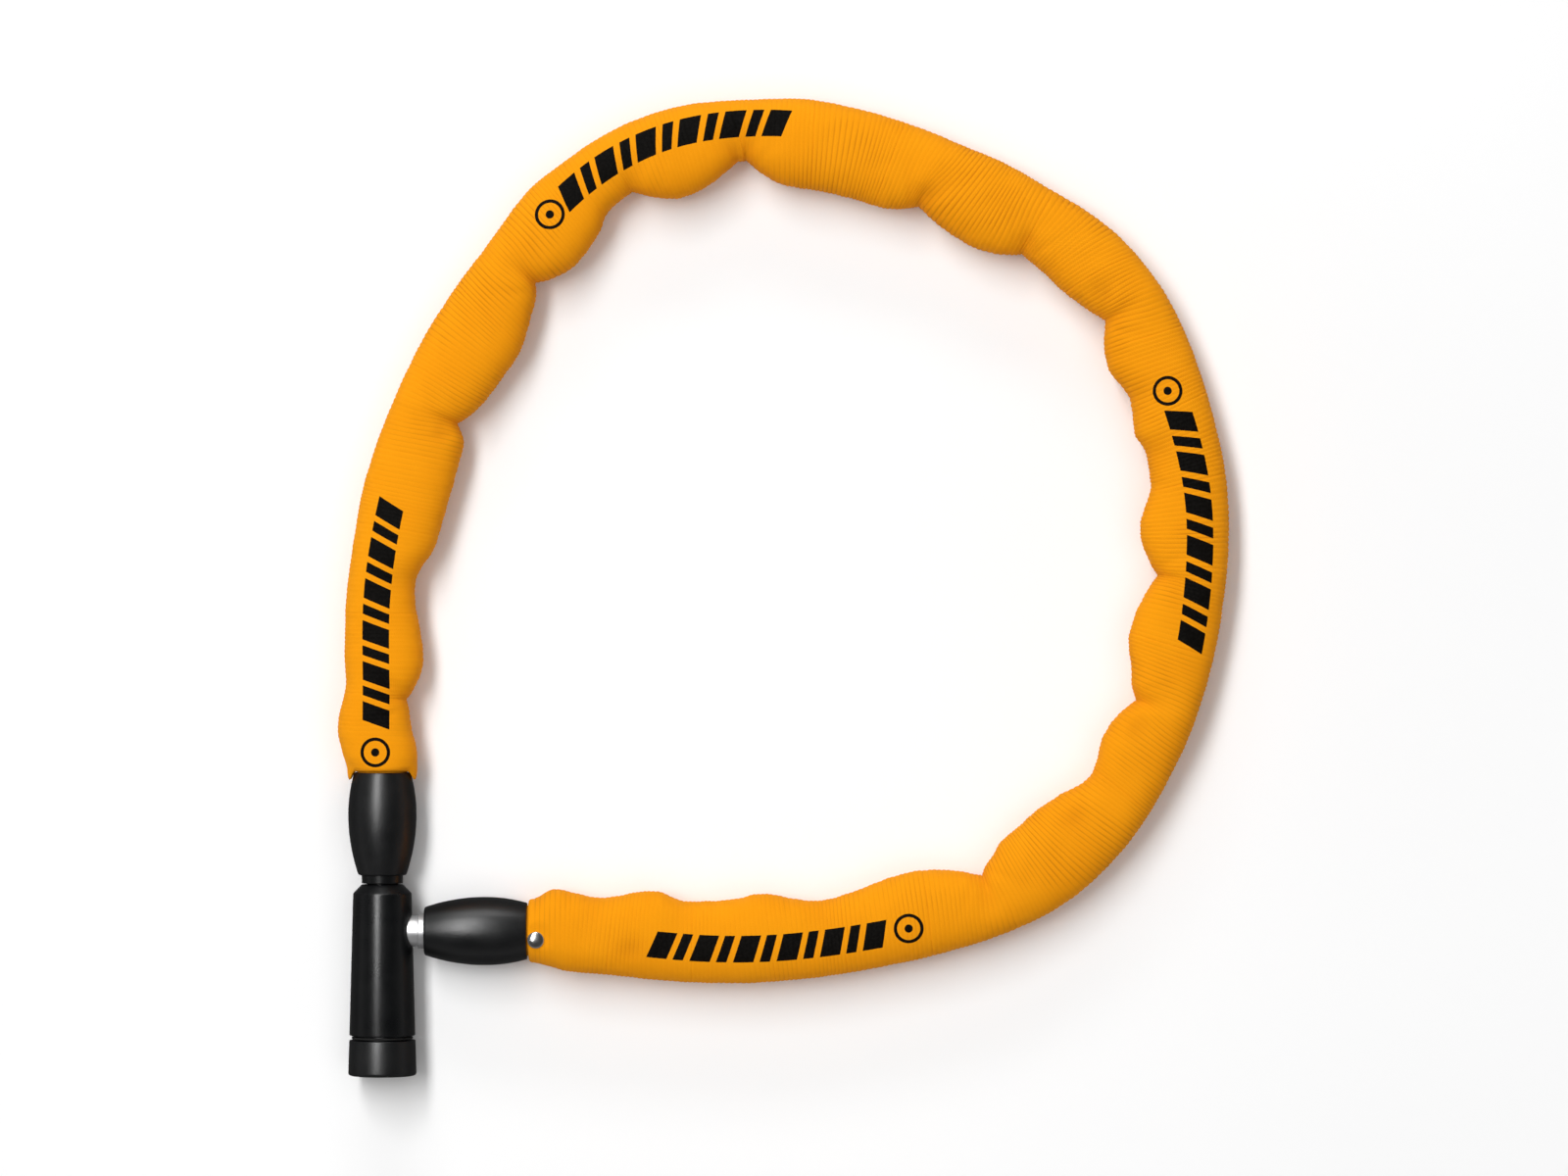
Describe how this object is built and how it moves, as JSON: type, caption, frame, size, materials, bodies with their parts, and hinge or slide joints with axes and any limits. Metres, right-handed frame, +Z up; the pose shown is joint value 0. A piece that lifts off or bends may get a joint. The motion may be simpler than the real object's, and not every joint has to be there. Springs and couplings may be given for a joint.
{
  "type": "chain bike lock",
  "caption": "Chain bicycle lock lying closed in a loop: square-link chain in a ribbed fabric sleeve, slim cylinder lock body, side-inserted bolt, barrel ferrules.",
  "frame": {"origin": "middle of the closed lock, on the ground it lies on", "axes": "+X to the side the bolt comes out of, +Y from the key end towards the top of the loop, +Z up"},
  "size_m": [0.2271, 0.2493, 0.0174],
  "materials": {
    "sleeve_fabric": "ribbed woven tube",
    "black_plastic": "satin moulded",
    "black_paint": "semi-gloss black",
    "bolt_steel": "ground and plated",
    "chain_steel": "hardened and zinc plated",
    "brass": "machined",
    "spring_steel": "drawn wire",
    "rivet_chrome": "polished",
    "rubber": "soft matt"
  },
  "bodies": {
    "lock_body": {"lock_housing": "black_paint", "end_cap": "black_plastic", "seal_ring": "rubber", "cylinder_core": "brass", "core_retaining_pin": "bolt_steel", "lock_anchor": "bolt_steel", "anchor_cross_pin": "bolt_steel", "lock_ferrule": "black_plastic", "pawl_spring": "spring_steel", "fabric_sleeve": "sleeve_fabric"},
    "key_plug": {"key_plug": "brass", "plug_cam": "bolt_steel", "wafer_1": "brass", "wafer_2": "brass", "wafer_3": "brass", "wafer_4": "brass", "wafer_spring_1": "spring_steel", "wafer_spring_2": "spring_steel", "wafer_spring_3": "spring_steel", "wafer_spring_4": "spring_steel"},
    "locking_pawl": {"locking_pawl": "bolt_steel"},
    "chain_link_01": {"chain_link_01": "chain_steel"},
    "chain_link_02": {"chain_link_02": "chain_steel"},
    "chain_link_03": {"chain_link_03": "chain_steel"},
    "chain_link_04": {"chain_link_04": "chain_steel"},
    "chain_link_05": {"chain_link_05": "chain_steel"},
    "chain_link_06": {"chain_link_06": "chain_steel"},
    "chain_link_07": {"chain_link_07": "chain_steel"},
    "chain_link_08": {"chain_link_08": "chain_steel"},
    "chain_link_09": {"chain_link_09": "chain_steel"},
    "chain_link_10": {"chain_link_10": "chain_steel"},
    "chain_link_11": {"chain_link_11": "chain_steel"},
    "chain_link_12": {"chain_link_12": "chain_steel"},
    "chain_link_13": {"chain_link_13": "chain_steel"},
    "chain_link_14": {"chain_link_14": "chain_steel"},
    "chain_link_15": {"chain_link_15": "chain_steel"},
    "chain_link_16": {"chain_link_16": "chain_steel"},
    "chain_link_17": {"chain_link_17": "chain_steel"},
    "chain_link_18": {"chain_link_18": "chain_steel"},
    "chain_link_19": {"chain_link_19": "chain_steel"},
    "chain_link_20": {"chain_link_20": "chain_steel"},
    "chain_link_21": {"chain_link_21": "chain_steel"},
    "chain_link_22": {"chain_link_22": "chain_steel"},
    "chain_link_23": {"chain_link_23": "chain_steel"},
    "chain_link_24": {"chain_link_24": "chain_steel"},
    "chain_link_25": {"chain_link_25": "chain_steel"},
    "chain_link_26": {"chain_link_26": "chain_steel"},
    "chain_link_27": {"chain_link_27": "chain_steel"},
    "chain_link_28": {"chain_link_28": "chain_steel"},
    "chain_link_29": {"chain_link_29": "chain_steel"},
    "bolt": {"locking_bolt": "bolt_steel", "bolt_ferrule": "black_plastic", "sleeve_rivet": "rivet_chrome"}
  },
  "joints": [
    {"name": "chain_turn_01", "type": "hinge", "parent": "lock_body", "child": "chain_link_01", "pos_m": [-0.1022, -0.0388, 0.0087], "axis": [0, 0, -1], "range_deg": [0, 8], "deforming": ["fabric_sleeve"]},
    {"name": "chain_turn_02", "type": "hinge", "parent": "chain_link_01", "child": "chain_link_02", "pos_m": [-0.10258, -0.01363, 0.0087], "axis": [0, 0, 1], "range_deg": [-7.64, 0]},
    {"name": "chain_turn_03", "type": "hinge", "parent": "chain_link_02", "child": "chain_link_03", "pos_m": [-0.10253, 0.00215, 0.0087], "axis": [0, 0, 1], "range_deg": [-5.6, 0]},
    {"name": "chain_turn_04", "type": "hinge", "parent": "chain_link_03", "child": "chain_link_04", "pos_m": [-0.09775, 0.02686, 0.0087], "axis": [0, 0, 1], "range_deg": [-2.46, 0]},
    {"name": "chain_turn_05", "type": "hinge", "parent": "chain_link_04", "child": "chain_link_05", "pos_m": [-0.09283, 0.04185, 0.0087], "axis": [0, 0, 1], "range_deg": [0, 0.9018]},
    {"name": "chain_turn_06", "type": "hinge", "parent": "chain_link_05", "child": "chain_link_06", "pos_m": [-0.0817, 0.06443, 0.0087], "axis": [0, 0, 1], "range_deg": [0, 2.76]},
    {"name": "chain_turn_07", "type": "hinge", "parent": "chain_link_06", "child": "chain_link_07", "pos_m": [-0.07268, 0.07737, 0.0087], "axis": [0, 0, 1], "range_deg": [0, 4.31]},
    {"name": "chain_turn_08", "type": "hinge", "parent": "chain_link_07", "child": "chain_link_08", "pos_m": [-0.05611, 0.09632, 0.0087], "axis": [0, 0, 1], "range_deg": [0, 5.55]},
    {"name": "chain_turn_09", "type": "hinge", "parent": "chain_link_08", "child": "chain_link_09", "pos_m": [-0.04383, 0.10623, 0.0087], "axis": [0, 0, 1], "range_deg": [0, 6.11]},
    {"name": "chain_turn_10", "type": "hinge", "parent": "chain_link_09", "child": "chain_link_10", "pos_m": [-0.0203, 0.11518, 0.0087], "axis": [0, 0, 1], "range_deg": [0, 5.99]},
    {"name": "chain_turn_11", "type": "hinge", "parent": "chain_link_10", "child": "chain_link_11", "pos_m": [-0.00458, 0.11642, 0.0087], "axis": [0, 0, 1], "range_deg": [0, 5.39]},
    {"name": "chain_turn_12", "type": "hinge", "parent": "chain_link_11", "child": "chain_link_12", "pos_m": [0.02039, 0.1132, 0.0087], "axis": [0, 0, 1], "range_deg": [0, 4.44]},
    {"name": "chain_turn_13", "type": "hinge", "parent": "chain_link_12", "child": "chain_link_13", "pos_m": [0.03536, 0.10823, 0.0087], "axis": [0, 0, 1], "range_deg": [0, 3.46]},
    {"name": "chain_turn_14", "type": "hinge", "parent": "chain_link_13", "child": "chain_link_14", "pos_m": [0.0581, 0.09744, 0.0087], "axis": [0, 0, 1], "range_deg": [0, 2.41]},
    {"name": "chain_turn_15", "type": "hinge", "parent": "chain_link_14", "child": "chain_link_15", "pos_m": [0.07191, 0.0898, 0.0087], "axis": [0, 0, 1], "range_deg": [0, 1.46]},
    {"name": "chain_turn_16", "type": "hinge", "parent": "chain_link_15", "child": "chain_link_16", "pos_m": [0.08966, 0.07195, 0.0087], "axis": [0, 0, 1], "range_deg": [0, 0.4922]},
    {"name": "chain_turn_17", "type": "hinge", "parent": "chain_link_16", "child": "chain_link_17", "pos_m": [0.09666, 0.05782, 0.0087], "axis": [0, 0, 1], "range_deg": [-0.501, 0]},
    {"name": "chain_turn_18", "type": "hinge", "parent": "chain_link_17", "child": "chain_link_18", "pos_m": [0.10374, 0.03366, 0.0087], "axis": [0, 0, 1], "range_deg": [-0.7808, 0]},
    {"name": "chain_turn_19", "type": "hinge", "parent": "chain_link_18", "child": "chain_link_19", "pos_m": [0.10556, 0.01799, 0.0087], "axis": [0, 0, 1], "range_deg": [-1.16, 0]},
    {"name": "chain_turn_20", "type": "hinge", "parent": "chain_link_19", "child": "chain_link_20", "pos_m": [0.10362, -0.00711, 0.0087], "axis": [0, 0, 1], "range_deg": [-1.62, 0]},
    {"name": "chain_turn_21", "type": "hinge", "parent": "chain_link_20", "child": "chain_link_21", "pos_m": [0.10025, -0.02252, 0.0087], "axis": [0, 0, 1], "range_deg": [-2.06, 0]},
    {"name": "chain_turn_22", "type": "hinge", "parent": "chain_link_21", "child": "chain_link_22", "pos_m": [0.09078, -0.04585, 0.0087], "axis": [0, 0, 1], "range_deg": [-2.52, 0]},
    {"name": "chain_turn_23", "type": "hinge", "parent": "chain_link_22", "child": "chain_link_23", "pos_m": [0.08207, -0.059, 0.0087], "axis": [0, 0, 1], "range_deg": [-2.84, 0]},
    {"name": "chain_turn_24", "type": "hinge", "parent": "chain_link_23", "child": "chain_link_24", "pos_m": [0.06335, -0.07582, 0.0087], "axis": [0, 0, 1], "range_deg": [-2.97, 0]},
    {"name": "chain_turn_25", "type": "hinge", "parent": "chain_link_24", "child": "chain_link_25", "pos_m": [0.04896, -0.08228, 0.0087], "axis": [0, 0, 1], "range_deg": [-2.78, 0]},
    {"name": "chain_turn_26", "type": "hinge", "parent": "chain_link_25", "child": "chain_link_26", "pos_m": [0.02458, -0.08857, 0.0087], "axis": [0, 0, 1], "range_deg": [-2.25, 0]},
    {"name": "chain_turn_27", "type": "hinge", "parent": "chain_link_26", "child": "chain_link_27", "pos_m": [0.00902, -0.09117, 0.0087], "axis": [0, 0, 1], "range_deg": [-1.5, 0]},
    {"name": "chain_turn_28", "type": "hinge", "parent": "chain_link_27", "child": "chain_link_28", "pos_m": [-0.01612, -0.09246, 0.0087], "axis": [0, 0, 1], "range_deg": [-0.4842, 0]},
    {"name": "chain_turn_29", "type": "hinge", "parent": "chain_link_28", "child": "chain_link_29", "pos_m": [-0.03179, -0.09063, 0.0087], "axis": [0, 0, 1], "range_deg": [0, 0.525]},
    {"name": "chain_turn_30", "type": "hinge", "parent": "chain_link_29", "child": "bolt", "pos_m": [-0.0568, -0.08775, 0.0087], "axis": [0, 0, 1], "range_deg": [0, 1.38]},
    {"name": "key_turn", "type": "hinge", "parent": "lock_body", "child": "key_plug", "pos_m": [-0.1022, -0.11, 0.0087], "axis": [0, 1, 0], "range_deg": [-90, 0]},
    {"name": "pawl_slide", "type": "slide", "parent": "lock_body", "child": "locking_pawl", "axis": [0, 0, 1], "range_m": [-0.00151, 0], "deforming": ["pawl_spring"]}
  ],
  "couplings": [
    {"joint": "chain_turn_02", "follows": "chain_turn_01", "ratio": -0.9534},
    {"joint": "chain_turn_03", "follows": "chain_turn_01", "ratio": -0.699},
    {"joint": "chain_turn_04", "follows": "chain_turn_01", "ratio": -0.3065},
    {"joint": "chain_turn_05", "follows": "chain_turn_01", "ratio": 0.1125},
    {"joint": "chain_turn_06", "follows": "chain_turn_01", "ratio": 0.3441},
    {"joint": "chain_turn_07", "follows": "chain_turn_01", "ratio": 0.538},
    {"joint": "chain_turn_08", "follows": "chain_turn_01", "ratio": 0.6928},
    {"joint": "chain_turn_09", "follows": "chain_turn_01", "ratio": 0.7624},
    {"joint": "chain_turn_10", "follows": "chain_turn_01", "ratio": 0.7471},
    {"joint": "chain_turn_11", "follows": "chain_turn_01", "ratio": 0.6729},
    {"joint": "chain_turn_12", "follows": "chain_turn_01", "ratio": 0.554},
    {"joint": "chain_turn_13", "follows": "chain_turn_01", "ratio": 0.4313},
    {"joint": "chain_turn_14", "follows": "chain_turn_01", "ratio": 0.3003},
    {"joint": "chain_turn_15", "follows": "chain_turn_01", "ratio": 0.1827},
    {"joint": "chain_turn_16", "follows": "chain_turn_01", "ratio": 0.0614},
    {"joint": "chain_turn_17", "follows": "chain_turn_01", "ratio": -0.0625},
    {"joint": "chain_turn_18", "follows": "chain_turn_01", "ratio": -0.0974},
    {"joint": "chain_turn_19", "follows": "chain_turn_01", "ratio": -0.1445},
    {"joint": "chain_turn_20", "follows": "chain_turn_01", "ratio": -0.2018},
    {"joint": "chain_turn_21", "follows": "chain_turn_01", "ratio": -0.2576},
    {"joint": "chain_turn_22", "follows": "chain_turn_01", "ratio": -0.3145},
    {"joint": "chain_turn_23", "follows": "chain_turn_01", "ratio": -0.3543},
    {"joint": "chain_turn_24", "follows": "chain_turn_01", "ratio": -0.3709},
    {"joint": "chain_turn_25", "follows": "chain_turn_01", "ratio": -0.3467},
    {"joint": "chain_turn_26", "follows": "chain_turn_01", "ratio": -0.2802},
    {"joint": "chain_turn_27", "follows": "chain_turn_01", "ratio": -0.1872},
    {"joint": "chain_turn_28", "follows": "chain_turn_01", "ratio": -0.0604},
    {"joint": "chain_turn_29", "follows": "chain_turn_01", "ratio": 0.0655},
    {"joint": "chain_turn_30", "follows": "chain_turn_01", "ratio": 0.1719},
    {"joint": "pawl_slide", "follows": "key_turn", "m_per_rad": 0.00095493}
  ]
}
